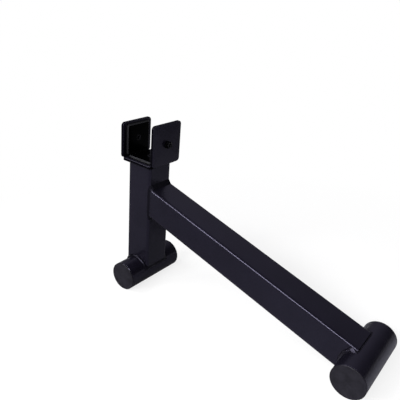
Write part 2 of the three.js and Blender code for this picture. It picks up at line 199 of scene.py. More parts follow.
def moulded_plastic(name, colour, rough, grain_scale, grain):
    """Satin moulded plastic: a fine spark-eroded grain and a faint flow pattern in the gloss."""
    finish, tree, shader, place = new_finish(name)
    flow = node(tree, "ShaderNodeTexNoise", Vector=place, Scale=70.0, Detail=5.0, Roughness=0.65)
    tone = two_tones(
        tree, flow.outputs["Fac"], colour, dark=0.65, light=1.45, start=0.35, end=0.65
    )
    tree.links.new(tone, shader.inputs["Base Color"])
    roughen(tree, shader, flow.outputs["Fac"], rough - 0.05, rough + 0.05)
    texture = node(tree, "ShaderNodeTexNoise", Vector=place, Scale=grain_scale, Detail=1.0)
    texture_bump(tree, shader, texture.outputs["Fac"], grain, GRAIN_DEPTH)
    shader.inputs["Specular IOR Level"].default_value = 0.22
    shader.inputs["Specular Tint"].default_value = (0.9, 0.89, 1, 1)
    return finish


cap_plastic = moulded_plastic(
    "cap_plastic", (0.0101, 0.0093, 0.0126), rough=0.38, grain_scale=1400.0, grain=0.5
)


def cap_profile():
    """A cap's (radius, height) points from the bottom of its cup to the edge of its outer face."""
    rib = FOOT_RADIUS - FOOT_WALL - JOINT_GAP
    cup = rib - CAP_RIB_HEIGHT
    top = JOINT_GAP + CAP_DISC
    pitch = CAP_CUP_DEPTH / CAP_RIBS
    points = [(cup - CAP_CUP_WALL, JOINT_GAP), (cup - CAP_CUP_WALL, -CAP_CUP_DEPTH)]
    points.append((cup, -CAP_CUP_DEPTH))
    for i in range(CAP_RIBS, 0, -1):
        middle = pitch / 2 - i * pitch
        points += [
            (cup, middle - CAP_RIB_WIDTH / 2),
            (rib, middle),
            (cup, middle + CAP_RIB_WIDTH / 2),
        ]
    points.append((cup, JOINT_GAP))
    points += [(FOOT_RADIUS - CAP_EASE, JOINT_GAP), (FOOT_RADIUS, JOINT_GAP + CAP_EASE)]
    for i in range(CAP_RIM_STEPS + 1):
        angle = i / CAP_RIM_STEPS * math.pi / 2
        radius = FOOT_RADIUS - CAP_RIM_ROUND * (1 - math.cos(angle))
        points.append((radius, top - CAP_RIM_ROUND * (1 - math.sin(angle))))
    return points


for foot, place in (("near", near_foot), ("far", far_foot)):
    for end, side in (("front", -1), ("rear", 1)):
        seat = place @ Matrix.Translation((0, side * FOOT_TUBE_HALF, 0))
        seat = seat @ Matrix.Rotation(-side * math.pi / 2, 4, "X")
        rings = [
            [(x, y, z) for x, y in ring_points(radius, CAP_STEPS)] for radius, z in cap_profile()
        ]
        ringed_solid(
            f"{foot}_{end}_end_plug",
            rings,
            seat,
            cap_plastic,
            f"{foot}_foot_{end}_cap",
            closed=False,
        )

# Upright and lever arm. Both are 50 mm square steel tube with 3 mm walls and round corners. The
# lower ends are coped to sit on the feet, the arm's upper end is mitred against the upright, and
# both are welded all round before the coating.
TUBE_HALF = 0.025
TUBE_WALL = 0.003
TUBE_CORNER = 0.0045
UPRIGHT_LEAN = math.radians(4.9)
UPRIGHT_HEIGHT = 0.2045
ARM_DROP = 0.0375
TUBE_CORNER_STEPS = 10
TUBE_SIDE_STEPS = 24


def arm_mitre():
    """The arm's angle from square to the upright, which puts its top edge at its drop below the
    upright's end and its centre line through the far foot's axis."""
    run = FOOT_SPACING * math.cos(UPRIGHT_LEAN) - TUBE_HALF
    rise = UPRIGHT_HEIGHT - ARM_DROP - FOOT_SPACING * math.sin(UPRIGHT_LEAN)
    return math.acos(TUBE_HALF / math.hypot(run, rise)) - math.atan2(run, rise)


MITRE = arm_mitre()
ARM_RUN = (FOOT_SPACING * math.cos(UPRIGHT_LEAN) - TUBE_HALF) / math.cos(MITRE)
ARM_HEIGHT = FOOT_SPACING * math.sin(UPRIGHT_LEAN) + ARM_RUN * math.sin(MITRE)
upright = near_foot @ Matrix.Rotation(UPRIGHT_LEAN, 4, "Y")
lever_arm = far_foot @ Matrix.Rotation(MITRE + UPRIGHT_LEAN - math.pi / 2, 4, "Y")


def rounded_outline(half_x, half_y, corner, corner_steps, side_steps):
    """Points round a rectangle with round corners as (x, y, normal x, normal y)."""
    points = []
    for quarter, (sx, sy) in enumerate(((1, 1), (-1, 1), (-1, -1), (1, -1))):
        centre = (sx * (half_x - corner), sy * (half_y - corner))
        for i in range(corner_steps + 1):
            angle = (quarter + i / corner_steps) * math.pi / 2
            nx, ny = math.cos(angle), math.sin(angle)
            points.append((centre[0] + corner * nx, centre[1] + corner * ny, nx, ny))
        nx, ny = math.cos((quarter + 1) * math.pi / 2), math.sin((quarter + 1) * math.pi / 2)
        x, y = points[-1][:2]
        length = 2 * (half_x - corner if quarter % 2 == 0 else half_y - corner)
        for i in range(1, side_steps):
            step = length * i / side_steps
            points.append((x - ny * step, y + nx * step, nx, ny))
    return points


def saddle_end(x):
    """Height above a foot's axis at which a coped tube ends: the foot's curve, then square."""
    radius = FOOT_RADIUS + JOINT_GAP
    return math.sqrt(radius**2 - min(abs(x), TUBE_HALF - TUBE_WALL) ** 2)


def coped_tube(name, place, upper_end, replaced):
    steps = (TUBE_CORNER_STEPS, TUBE_SIDE_STEPS)
    outer = rounded_outline(TUBE_HALF, TUBE_HALF, TUBE_CORNER, *steps)
    bore = TUBE_HALF - TUBE_WALL
    inner = rounded_outline(bore, bore, TUBE_CORNER - TUBE_WALL, *steps)
    rings = [
        [(x, y, saddle_end(x)) for x, y, _, _ in outer],
        [(x, y, upper_end(x)) for x, y, _, _ in outer],
        [(x, y, upper_end(x)) for x, y, _, _ in inner],
        [(x, y, saddle_end(x)) for x, y, _, _ in inner],
    ]
    return ringed_solid(name, rings, place, black_coat, replaced)


coped_tube("upright_square_tube", upright, lambda x: UPRIGHT_HEIGHT, "upright_tube")
mitre_end = ARM_RUN - JOINT_GAP / math.cos(MITRE)
coped_tube(
    "lever_arm_square_tube",
    lever_arm,
    lambda x: mitre_end + x * math.tan(MITRE),
    "lever_arm_tube",
)

# Weld beads. Fillets of weld metal run round each saddle, round the arm's mitred end and under the
# cradle, laid by hand in overlapping ripples and coated over with the frame. Their coat is darker
# and duller than the frame's, as painted shade round the beads, and darkest in the corner above the
# arm as painted shade there; only the bead at the far foot is glossy. Between flush faces a bead
# only fills the groove.
SADDLE_WELD_LEG = 4 * MM
ARM_WELD_LEG = 6 * MM
CRADLE_WELD_LEG = 3 * MM
SUNK_TOE_INSET = 1.5 * MM
SUNK_TOE_DROP = 0.9 * MM
FOOT_MARGIN = 1.2 * MM
SUNK_FOOT_MARGIN = 1.1 * MM
SIDE_STRIP_LEG = 2.6 * MM
SIDE_STRIP_SINK = 0.8 * MM
SIDE_STRIP_ROOT = 1.5 * MM
BEAD_BACK_SHARE = 0.1
RIPPLE_PITCH = 2.4 * MM
RIPPLE_HEIGHT = 0.28 * MM
RIPPLE_WANDER_SHARE = 1.2
RIPPLE_DRIFT = 1.6
BEAD_PROFILE_STEPS = 8
BEAD_CORNER_STEPS = 20
BEAD_SIDE_STEPS = 96
# The beads' coat is darker than the frame's: painted shade round the beads.
weld_shade_coat = powder_coat(
    "weld_bead_painted_shade", (0.0015, 0.0013, 0.0025), rough=(0.26, 0.34), peel=0.4, gloss=0.14
)
# Darker still on the bead in the corner above the arm: painted shade in that corner.
corner_shade_coat = powder_coat(
    "inner_corner_painted_shade", (0.002, 0.0018, 0.0032), rough=(0.36, 0.46), peel=0.4, gloss=0.12
)
glossy_coat = powder_coat(
    "far_bead_coat", (0.0035, 0.003, 0.005), rough=(0.2, 0.28), peel=0.4, gloss=0.3
)


def maths(tree, kind, first, second):
    """A Math node's result, with each of its two inputs a socket or a number."""
    made = tree.nodes.new("ShaderNodeMath")
    made.operation = kind
    for socket, value in zip(made.inputs, (first, second)):
        if isinstance(value, bpy.types.NodeSocket):
            tree.links.new(value, socket)
        else:
            socket.default_value = value
    return made.outputs[0]


def size_inputs(tree, sizes):
    """Gives a node tree a named input for each size and one for its finish."""
    for name, value in sizes:
        socket = tree.interface.new_socket(name, in_out="INPUT", socket_type="NodeSocketFloat")
        socket.default_value = value
    tree.interface.new_socket("Finish", in_out="INPUT", socket_type="NodeSocketMaterial")
    tree.interface.new_socket("Geometry", in_out="OUTPUT", socket_type="NodeSocketGeometry")
    return tree.nodes.new("NodeGroupInput").outputs


def realized_and_painted(tree, geometry, finish):
    real = tree.nodes.new("GeometryNodeRealizeInstances")
    tree.links.new(geometry, real.inputs[0])
    painted = node(tree, "GeometryNodeSetMaterial", Geometry=real.outputs[0], Material=finish)
    tree.links.new(painted.outputs[0], tree.nodes.new("NodeGroupOutput").inputs[0])
    return tree


def ripple_tree():
    """Ripples across a bead: each is a crescent that bulges towards the end of the run, and their
    spacing and height wander a little. Weld Along and Weld Across are attributes of the bead."""
    tree = bpy.data.node_groups.new("weld_ripples", "GeometryNodeTree")
    tree.interface.new_socket("Geometry", in_out="INPUT", socket_type="NodeSocketGeometry")
    sizes = [("Ripple Pitch", RIPPLE_PITCH), ("Ripple Height", RIPPLE_HEIGHT)]
    sizes += [("Crescent", 1.1), ("Wander", RIPPLE_WANDER_SHARE * RIPPLE_HEIGHT)]
    given = size_inputs(tree, sizes)

    def attribute(name):
        made = node(tree, "GeometryNodeInputNamedAttribute", Name=name)
        made.data_type = "FLOAT"
        return made.outputs["Attribute"]

    def times(first, second):
        return maths(tree, "MULTIPLY", first, second)

    along, across = attribute("weld_along"), attribute("weld_across")
    drift = node(tree, "ShaderNodeTexNoise", Scale=160.0)
    drift.noise_dimensions = "1D"
    tree.links.new(along, drift.inputs["W"])
    centred = maths(tree, "SUBTRACT", across, 0.5)
    bow = times(times(centred, centred), given["Crescent"])
    phase = maths(tree, "DIVIDE", along, given["Ripple Pitch"])
    phase = maths(tree, "SUBTRACT", phase, times(bow, 4.0))
    phase = maths(tree, "ADD", phase, times(drift.outputs["Fac"], RIPPLE_DRIFT))
    crest = maths(tree, "ABSOLUTE", maths(tree, "SINE", times(phase, math.pi), 0.0), 0.0)
    window = times(times(across, 4.0), maths(tree, "SUBTRACT", 1.0, across))
    lift = times(times(crest, window), given["Ripple Height"])
    swell = maths(tree, "SUBTRACT", drift.outputs["Fac"], 0.5)
    swell = times(times(swell, window), given["Wander"])
    scaled = tree.nodes.new("ShaderNodeVectorMath")
    scaled.operation = "SCALE"
    tree.links.new(maths(tree, "ADD", lift, swell), scaled.inputs["Scale"])
    tree.links.new(tree.nodes.new("GeometryNodeInputNormal").outputs[0], scaled.inputs[0])
    moved = node(tree, "GeometryNodeSetPosition", Geometry=given["Geometry"])
    tree.links.new(scaled.outputs[0], moved.inputs["Offset"])
    return realized_and_painted(tree, moved.outputs[0], given["Finish"])


weld_ripples = ripple_tree()


def made_by_nodes(name, data, tree, inputs, replaced, smooth=50):
    """Runs a node tree on a mesh, keeps the result as a plain mesh and removes the modifier."""
    source = linked_object(name + "_source", data)
    modifier = source.modifiers.new("nodes", "NODES")
    modifier.node_group = tree
    for socket in tree.interface.items_tree:
        if socket.in_out == "INPUT" and socket.name in inputs:
            modifier[socket.identifier] = inputs[socket.name]
    graph = bpy.context.evaluated_depsgraph_get()
    plain = bpy.data.meshes.new_from_object(source.evaluated_get(graph))
    source.modifiers.remove(modifier)
    bpy.data.objects.remove(source)
    plain.name = name
    return finished_piece(name, plain, replaced, smooth)


def weld_bead(
    name, place, sections, replaced, fill, closed=True, ripple=RIPPLE_HEIGHT, finish=weld_shade_coat
):
    """A bead through sections of (toe, root, toe). Its face bulges from the root by a share of
    both legs, and its back is the root, inside the metal."""
    mesh = bmesh.new()
    along_layer = mesh.verts.layers.float.new("weld_along")
    across_layer = mesh.verts.layers.float.new("weld_across")
    loops = []
    along = 0.0
    last = None
    for toe_a, root, toe_b in sections:
        toe_a, root, toe_b = (place @ Vector(point) for point in (toe_a, root, toe_b))
        middle = root + fill * (toe_a - root) + fill * (toe_b - root)
        along += 0.0 if last is None else (root - last).length
        last = root
        loop = []
        for i in range(BEAD_PROFILE_STEPS + 1):
            t = i / BEAD_PROFILE_STEPS
            point = (1 - t) ** 2 * toe_a + 2 * t * (1 - t) * middle + t**2 * toe_b
            vertex = mesh.verts.new(point)
            vertex[along_layer], vertex[across_layer] = along, t
            loop.append(vertex)
        vertex = mesh.verts.new(root - BEAD_BACK_SHARE * (middle - root))
        vertex[along_layer] = along
        loop.append(vertex)
        loops.append(loop)
    data = mesh_of_rings(name + "_base", mesh, loops, closed)
    inputs = {"Finish": finish, "Ripple Height": ripple, "Wander": RIPPLE_WANDER_SHARE * ripple}
    return made_by_nodes(name, data, weld_ripples, inputs, replaced)


bead_outline = rounded_outline(
    TUBE_HALF, TUBE_HALF, TUBE_CORNER, BEAD_CORNER_STEPS, BEAD_SIDE_STEPS
)


def saddle_sections(sunk):
    """Round a square tube on its foot. The toes lie on the foot and on the tube. On the two sides
    along the foot, where the wall is cut square, a share of the bead is sunk under the wall."""
    inner = TUBE_HALF - TUBE_WALL
    sections = []
    for x, y, nx, ny in bead_outline:
        beside = min(1.0, max(0.0, (abs(x) - inner) / (TUBE_HALF - inner - JOINT_GAP)))
        beside = sunk * beside**2 * (3 - 2 * beside)
        fillet_top = math.sqrt((FOOT_RADIUS + SADDLE_WELD_LEG) ** 2 - x**2)
        toe_x = x - beside * SUNK_TOE_INSET * nx
        toe_z = fillet_top + beside * (saddle_end(x) - SUNK_TOE_DROP - fillet_top)
        deep = math.copysign(min(abs(x), inner), x)
        root = (deep, y, math.sqrt(FOOT_RADIUS**2 - deep**2))
        furthest = FOOT_RADIUS - (FOOT_MARGIN + SUNK_FOOT_MARGIN * sunk)
        out = x + SADDLE_WELD_LEG * nx
        out = math.copysign(min(abs(out), furthest), out)
        on_foot = (out, y + SADDLE_WELD_LEG * ny, math.sqrt(FOOT_RADIUS**2 - out**2))
        sections.append(((toe_x, y, toe_z), root, on_foot))
    return sections


weld_bead(
    "upright_saddle_bead",
    upright,
    saddle_sections(sunk=0.0),
    "upright_foot_weld",
    fill=0.8,
    ripple=0.15 * MM,
)
weld_bead(
    "arm_saddle_bead",
    lever_arm,
    saddle_sections(sunk=1.0),
    "arm_foot_weld",
    fill=0.5,
    ripple=0.42 * MM,
    finish=glossy_coat,
)


def under_cradle_sections():
    """Under the base plate. The toes lie on the upright's sides and on the plate."""
    sections = []
    top = UPRIGHT_HEIGHT + JOINT_GAP
    leg = CRADLE_WELD_LEG
    for x, y, nx, ny in bead_outline:
        sections.append(((x, y, top - leg), (x, y, top), (x + leg * nx, y + leg * ny, top)))
    return sections


weld_bead("under_cradle_bead", upright, under_cradle_sections(), "upright_cradle_weld", fill=0.56)


def arm_end_sections():
    """Round the arm's mitred end: fillets above and below, and at both sides a strip that fills
    the groove beside the upright's round corner."""
    sections = []
    for x, y, nx, ny in bead_outline:
        side = abs(ny) ** 2
        z = ARM_HEIGHT + x / math.cos(MITRE)
        leg = ARM_WELD_LEG * (1 - side) + SIDE_STRIP_LEG * side
        on_arm = (TUBE_HALF + leg * math.cos(MITRE), y, z - leg * math.sin(MITRE))
        y_up = max(-TUBE_HALF, min(TUBE_HALF, y + ARM_WELD_LEG * ny))
        past = max(0.0, abs(y_up) - (TUBE_HALF - TUBE_CORNER))
        x_up = TUBE_HALF - TUBE_CORNER + math.sqrt(max(0.0, TUBE_CORNER**2 - past**2))
        x_up -= SIDE_STRIP_SINK * side
        on_upright = (x_up, y_up, z + ARM_WELD_LEG * nx)
        inward = SIDE_STRIP_ROOT * side
        root = (TUBE_HALF - inward, y - inward * (1 if ny > 0 else -1), z)
        sections.append((on_upright, root, on_arm))
    return sections


weld_bead(
    "arm_end_bead",
    upright,
    arm_end_sections(),
    "arm_upright_weld",
    fill=0.44,
    ripple=0.12 * MM,
    finish=corner_shade_coat,
)

# Cradle plates. A base plate is welded on the upright's top end, and two ears with round corners
# are welded to its ends, the outer one lower, on the side where the cradle is loaded. All are 5 mm
# laser-cut steel, and their cut edges have a darker, duller coat than their faces.
PLATE = 5 * MM
PLATE_EASE = 0.8 * MM
PLATE_EASE_STEPS = 5
PLATE_STEPS = (12, 8)
CRADLE_WIDTH = 62 * MM
EAR_WIDTH = 65.5 * MM
EAR_CORNER = 6 * MM
EAR_LIFT = 3 * MM
EAR_BEAD_STEPS = 104
EAR_BEAD_TAPER = 3 * MM
EAR_BEAD_TIP = 0.05 * MM
ear_heights = {"arm_side": 69.5 * MM, "outer": 60.5 * MM}
SCREW_RADIUS = 3 * MM
SCREW_HEAD_RADIUS = 5.5 * MM
SCREW_HEAD_RIM = 0.3 * MM
SCREW_HEAD_EASE = (0.2 * MM, 0.15 * MM)
SCREW_CLEARANCE = 0.3 * MM
cradle = upright @ Matrix.Translation((0, 0, UPRIGHT_HEIGHT + JOINT_GAP))
base_seat = cradle @ Matrix.Translation((0, 0, PLATE)) @ Matrix.Rotation(math.pi, 4, "Y")


def ear_seat(ear):
    side = 1 if ear == "arm_side" else -1
    centre = (side * CRADLE_WIDTH / 2, 0, EAR_LIFT + ear_heights[ear] / 2)
    turn = Matrix.Rotation(side * math.pi / 2, 4, "Y")
    return cradle @ Matrix.Translation(centre) @ turn


def hole_ring(outline, radius, z):
    """A round ring with one point in the direction of each point of an outline."""
    points = []
    for x, y, _, _ in outline:
        length = math.hypot(x, y)
        points.append((radius * x / length, radius * y / length, z))
    return points


edge_coat = powder_coat(
    "cut_edge_coat", (0.0012, 0.001, 0.002), rough=(0.34, 0.42), peel=0.5, gloss=0.03
)


def eased_plate(name, place, half_x, half_y, corner, replaced):
    """A plate with round corners, eased edges and a screw's hole. The first material is the coat
    on its faces, and the second one lies on the flat of its cut edge."""

    def edge(inset, z):
        outline = rounded_outline(half_x - inset, half_y - inset, corner - inset, *PLATE_STEPS)
        return [(x, y, z) for x, y, _, _ in outline]

    angles = [i / PLATE_EASE_STEPS * math.pi / 2 for i in range(PLATE_EASE_STEPS + 1)]
    rings = [edge(PLATE_EASE * (1 - math.sin(a)), PLATE_EASE * (1 - math.cos(a))) for a in angles]
    rings += [
        edge(PLATE_EASE * (1 - math.cos(a)), PLATE - PLATE_EASE * (1 - math.sin(a)))
        for a in angles
    ]
    outline = rounded_outline(half_x, half_y, corner, *PLATE_STEPS)
    bore = SCREW_RADIUS + SCREW_CLEARANCE
    rings += [hole_ring(outline, bore, PLATE), hole_ring(outline, bore, 0)]
    plate = ringed_solid(name, rings, place, black_coat, replaced, smooth=40)
    plate.data.materials.append(edge_coat)
    cut = range((PLATE_EASE_STEPS - 1) * len(outline), (PLATE_EASE_STEPS + 2) * len(outline))
    for i in cut:
        plate.data.polygons[i].material_index = 1
    return plate


eased_plate(
    "cradle_base",
    base_seat,
    CRADLE_WIDTH / 2 - JOINT_GAP,
    EAR_WIDTH / 2,
    2 * MM,
    "cradle_base_plate",
)
for ear, height in ear_heights.items():
    eased_plate(
        ear + "_ear_plate",
        ear_seat(ear),
        height / 2,
        EAR_WIDTH / 2,
        EAR_CORNER,
        ear + "_ear",
    )
    side = 1 if ear == "arm_side" else -1
    leg = EAR_LIFT - JOINT_GAP
    reach = EAR_WIDTH / 2 - EAR_CORNER
    sections = []
    for i in range(EAR_BEAD_STEPS + 1):
        y = (2 * i / EAR_BEAD_STEPS - 1) * reach
        taper = min(1.0, (reach - abs(y)) / EAR_BEAD_TAPER) ** 0.5 * leg + EAR_BEAD_TIP
        root = Vector((side * CRADLE_WIDTH / 2, y, EAR_LIFT))
        sections.append((root + Vector((side * taper, 0, 0)), root, root - Vector((0, 0, taper))))
    weld_bead(ear + "_ear_bead", cradle, sections, ear + "_ear_weld", fill=0.58, closed=False)

# Liners. Three thin pads of glossy black moulded plastic line the cradle: one on the base and one
# inside each ear. Their faces are bevelled all round and each is held by one countersunk screw.
LINER_THICKNESS = 3 * MM
LINER_BEVEL_WIDTH = 3 * MM
LINER_BEVEL_DEPTH = 2 * MM
LINER_CREASE = 0.35 * MM
LINER_CORNER = 5 * MM
LINER_LEAST_CORNER = 0.6 * MM
LINER_STEPS = (10, 8)
LINER_INSET = 6 * MM
LINER_DEPTH = EAR_WIDTH - 2 * LINER_INSET
LINER_SPACING = 1.2 * MM
LINER_FACE = -JOINT_GAP - LINER_THICKNESS
# Share of the painted bevel highlight on the bevel's outer crease.
CREASE_HIGHLIGHT = 0.15


def glossy_plastic(name, colour, painted_highlight, rough):
    """Polished moulded plastic: slightly wavy, with faint rub marks along the cradle. Its bevels,
    which a vertex attribute marks, are duller and greyer than its faces as a painted highlight,
    uneven along the rub marks."""
    finish, tree, shader, place = new_finish(name)
    stretch = node(tree, "ShaderNodeMapping", Vector=place)
    stretch.inputs["Scale"].default_value = (900.0, 60.0, 900.0)
    rub = node(tree, "ShaderNodeTexNoise", Vector=stretch.outputs[0], Scale=1.0, Detail=3.0)
    bevels = tree.nodes.new("ShaderNodeAttribute")
    bevels.attribute_name = "painted_highlight"
    highlight_share = span(tree, rub.outputs["Fac"], 0.5, 1.5)
    highlight_share = maths(tree, "MULTIPLY", bevels.outputs["Fac"], highlight_share)
    mixed = tree.nodes.new("ShaderNodeMix")
    mixed.data_type = "RGBA"
    tree.links.new(highlight_share, mixed.inputs["Factor"])
    tone = two_tones(tree, rub.outputs["Fac"], colour, dark=0.8, light=1.3)
    tree.links.new(tone, mixed.inputs[6])
    mixed.inputs[7].default_value = (*painted_highlight, 1)
    tree.links.new(mixed.outputs[2], shader.inputs["Base Color"])
    roughen(tree, shader, rub.outputs["Fac"], rough - 0.04, rough + 0.06)
    wave = node(tree, "ShaderNodeTexNoise", Vector=place, Scale=90.0, Detail=1.0)
    texture_bump(tree, shader, wave.outputs["Fac"], strength=0.4, depth=0.06 * MM)
    shader.inputs["Specular IOR Level"].default_value = 0.03
    return finish


# The lighter grey on the pads' bevels is a painted highlight.
liner_plastic = glossy_plastic(
    "liner_plastic", (0.0004, 0.0004, 0.0005), painted_highlight=(0.03, 0.03, 0.034), rough=0.2
)


def liner_pad(name, place, half_x, replaced):
    """A pad with a bevel all round, its creases softened, and a countersunk hole. A vertex
    attribute is 1 on the bevel, where a highlight is painted."""
    half_y = LINER_DEPTH / 2
    crease = LINER_CREASE

    def edge(inset, z):
        corner = max(LINER_CORNER - inset, LINER_LEAST_CORNER)
        outline = rounded_outline(half_x - inset, half_y - inset, corner, *LINER_STEPS)
        return [(x, y, z) for x, y, _, _ in outline]

    back, face = -JOINT_GAP, LINER_FACE
    shoulder = face + LINER_BEVEL_DEPTH
    slope = LINER_BEVEL_DEPTH / LINER_BEVEL_WIDTH
    rings = [edge(0, back), edge(0, shoulder + crease)]
    rings.append(edge(0.25 * crease, shoulder + 0.15 * crease))
    rings.append(edge(crease, shoulder - crease * slope))
    rings.append(edge(LINER_BEVEL_WIDTH - crease, face + crease * slope))
    rings.append(edge(LINER_BEVEL_WIDTH, face + 0.2 * crease * slope))
    rings.append(edge(LINER_BEVEL_WIDTH + crease, face))
    outline = rounded_outline(half_x, half_y, LINER_CORNER, *LINER_STEPS)
    head = SCREW_HEAD_RADIUS + SCREW_CLEARANCE
    shank = SCREW_RADIUS + SCREW_CLEARANCE
    rings.append(hole_ring(outline, head, face))
    rings.append(hole_ring(outline, head, face + SCREW_HEAD_RIM))
    rings.append(hole_ring(outline, shank, face + SCREW_HEAD_RIM + head - shank))
    rings.append(hole_ring(outline, shank, back))
    pad = ringed_solid(name, rings, place, liner_plastic, replaced, smooth=30)
    # A vertex attribute marks the bevel, where the lighter grey is a painted highlight.
    painted_highlight = pad.data.attributes.new("painted_highlight", "FLOAT", "POINT")
    count = len(outline)
    values = [0.0] * len(pad.data.vertices)
    values[3 * count : 4 * count] = [CREASE_HIGHLIGHT] * count
    values[4 * count : 6 * count] = [1.0] * (2 * count)
    painted_highlight.data.foreach_set("value", values)
    return pad


liner_pad("base_pad", base_seat, CRADLE_WIDTH / 2 + LINER_FACE - LINER_SPACING, "base_liner")
for ear, height in ear_heights.items():
    half = height / 2 - (PLATE + LINER_SPACING - EAR_LIFT)
    liner_pad(ear + "_pad", ear_seat(ear), half, ear + "_liner")

# Liner fasteners. Each pad has a black-finished M6 countersunk socket screw, flush with its face.
# Behind the ears a plain washer and a hexagon nut close it, and a little thread stands out past
# the nut. The base pad's screw runs into a thread in the plate.
SOCKET_WIDTH = 4 * MM
SOCKET_DEPTH = 2 * MM
SOCKET_CHAMFER = 0.25 * MM
WASHER_RADIUS = 6 * MM
WASHER_THICKNESS = 1.6 * MM
NUT_WIDTH = 10 * MM
NUT_HEIGHT = 5 * MM
NUT_CHAMFER = 0.8 * MM
NUT_BORE_CHAMFER = 0.6 * MM
NUT_THREAD_DEPTH = 0.45 * MM
WASHER_EASE = 0.25 * MM
THREAD_PITCH = 1 * MM
THREAD_DEPTH = 0.5 * MM
THREAD_IN_NUT = 1.2 * MM
THREAD_TURNS = 2.6
SCREW_PROTRUSION = 2 * MM
SCREW_SHANK = 1.5 * MM
SCREW_POINT = 0.6 * MM
FASTENER_STEPS = 96
CHAMFER_STEPS = 8


def blackened_steel(name, colour, rough):
    """Zinc-blacked steel: dark metal with a cloudy gloss, a little brighter where its black is
    scuffed off.
    """
    finish, tree, shader, place = new_finish(name)
    cloud = node(tree, "ShaderNodeTexNoise", Vector=place, Scale=420.0, Detail=4.0)
    tone = two_tones(tree, cloud.outputs["Fac"], colour, dark=1, light=20, start=0.52, end=0.7)
    tree.links.new(tone, shader.inputs["Base Color"])
    roughen(tree, shader, cloud.outputs["Fac"], rough - 0.08, rough + 0.1)
    shader.inputs["Metallic"].default_value = 0.85
    texture_bump(tree, shader, cloud.outputs["Fac"], strength=0.3, depth=0.03 * MM)
    return finish


fastener_steel = blackened_steel("blackened_steel", (0.0022, 0.0022, 0.0028), rough=0.2)
screw_black = blackened_steel("black_oxide_screws", (0.002, 0.002, 0.0025), rough=0.45)


def hexagon_reach(angle, width):
    """Distance from a hexagon's middle to its edge, for flats a width apart."""
    turn = (angle + math.pi / 6) % (math.pi / 3) - math.pi / 6
    return width / 2 / math.cos(turn)


def turned_ring(radius, z):
    return [(x, y, z) for x, y in ring_points(radius, FASTENER_STEPS)]


def hexagon_ring(width, z, limit=1.0):
    """A hexagon for flats a width apart, its corners cut by a circle of the limit's radius."""
    points = []
    for i in range(FASTENER_STEPS):
        angle = 2 * math.pi * i / FASTENER_STEPS
        reach = min(hexagon_reach(angle, width), limit)
        points.append((reach * math.cos(angle), reach * math.sin(angle), z))
    return points


def countersunk_screw(name, place, length, replaced):
    face, end = LINER_FACE, LINER_FACE + length
    neck = face + SCREW_HEAD_RIM + SCREW_HEAD_RADIUS - SCREW_RADIUS
    rings = [
        hexagon_ring(SOCKET_WIDTH, face + SOCKET_DEPTH),
        hexagon_ring(SOCKET_WIDTH, face + SOCKET_CHAMFER),
        hexagon_ring(SOCKET_WIDTH + 2 * SOCKET_CHAMFER, face),
        turned_ring(SCREW_HEAD_RADIUS - SCREW_HEAD_EASE[0], face),
        turned_ring(SCREW_HEAD_RADIUS, face + SCREW_HEAD_EASE[1]),
        turned_ring(SCREW_HEAD_RADIUS, face + SCREW_HEAD_RIM),
        turned_ring(SCREW_RADIUS, neck),
        turned_ring(SCREW_RADIUS, neck + SCREW_SHANK),
        turned_ring(SCREW_RADIUS - THREAD_DEPTH, neck + SCREW_SHANK + THREAD_DEPTH),
        turned_ring(SCREW_RADIUS - THREAD_DEPTH, end - SCREW_POINT),
        turned_ring(SCREW_RADIUS - 2 * THREAD_DEPTH, end),
    ]
    return ringed_solid(
        name, rings, place, screw_black, replaced, closed=False
    )


def thread_tree():
    """A thread as one ridge of even size wound along a core, its ends closed flat."""
    tree = bpy.data.node_groups.new("screw_thread", "GeometryNodeTree")
    sizes = [("Core Radius", SCREW_RADIUS - THREAD_DEPTH), ("Pitch", THREAD_PITCH)]
    sizes += [("Turns", THREAD_TURNS), ("Ridge", THREAD_DEPTH)]
    given = size_inputs(tree, sizes)
    spiral = node(
        tree,
        "GeometryNodeCurveSpiral",
        Resolution=40,
        Rotations=given["Turns"],
        Start_Radius=given["Core Radius"],
        End_Radius=given["Core Radius"],
        Height=maths(tree, "MULTIPLY", given["Pitch"], given["Turns"]),
    )
    section = node(
        tree, "GeometryNodeCurvePrimitiveCircle", Resolution=4, Radius=given["Ridge"]
    )
    swept = node(
        tree,
        "GeometryNodeCurveToMesh",
        Curve=spiral.outputs[0],
        Profile_Curve=section.outputs[0],
        Fill_Caps=True,
    )
    return realized_and_painted(tree, swept.outputs[0], given["Finish"])


screw_thread = thread_tree()


def hexagon_nut(name, place, bottom, replaced):
    corner = NUT_WIDTH / math.sqrt(3)
    low = corner - NUT_CHAMFER * math.sqrt(3)
    bore = SCREW_RADIUS - NUT_THREAD_DEPTH
    mouth = bore + NUT_BORE_CHAMFER
    rings = [turned_ring(bore, bottom + NUT_BORE_CHAMFER), turned_ring(mouth, bottom)]
    for i in range(CHAMFER_STEPS + 1):
        rise = i / CHAMFER_STEPS * NUT_CHAMFER
        rings.append(hexagon_ring(NUT_WIDTH, bottom + rise, low + rise * math.sqrt(3)))
    top = bottom + NUT_HEIGHT
    for i in range(CHAMFER_STEPS, -1, -1):
        rise = i / CHAMFER_STEPS * NUT_CHAMFER
        rings.append(hexagon_ring(NUT_WIDTH, top - rise, low + rise * math.sqrt(3)))
    rings += [turned_ring(mouth, top), turned_ring(bore, top - NUT_BORE_CHAMFER)]
    return ringed_solid(
        name, rings, place, fastener_steel, replaced, smooth=25
    )


def flat_washer(name, place, bottom, replaced):
    ease = WASHER_EASE
    bore = SCREW_RADIUS + SCREW_CLEARANCE
    top = bottom + WASHER_THICKNESS
    profile = [(bore, top), (bore, bottom), (WASHER_RADIUS - ease, bottom)]
    profile += [(WASHER_RADIUS, bottom + ease), (WASHER_RADIUS, top - ease)]
    profile.append((WASHER_RADIUS - ease, top))
    rings = [turned_ring(radius, z) for radius, z in profile]
    return ringed_solid(name, rings, place, fastener_steel, replaced)


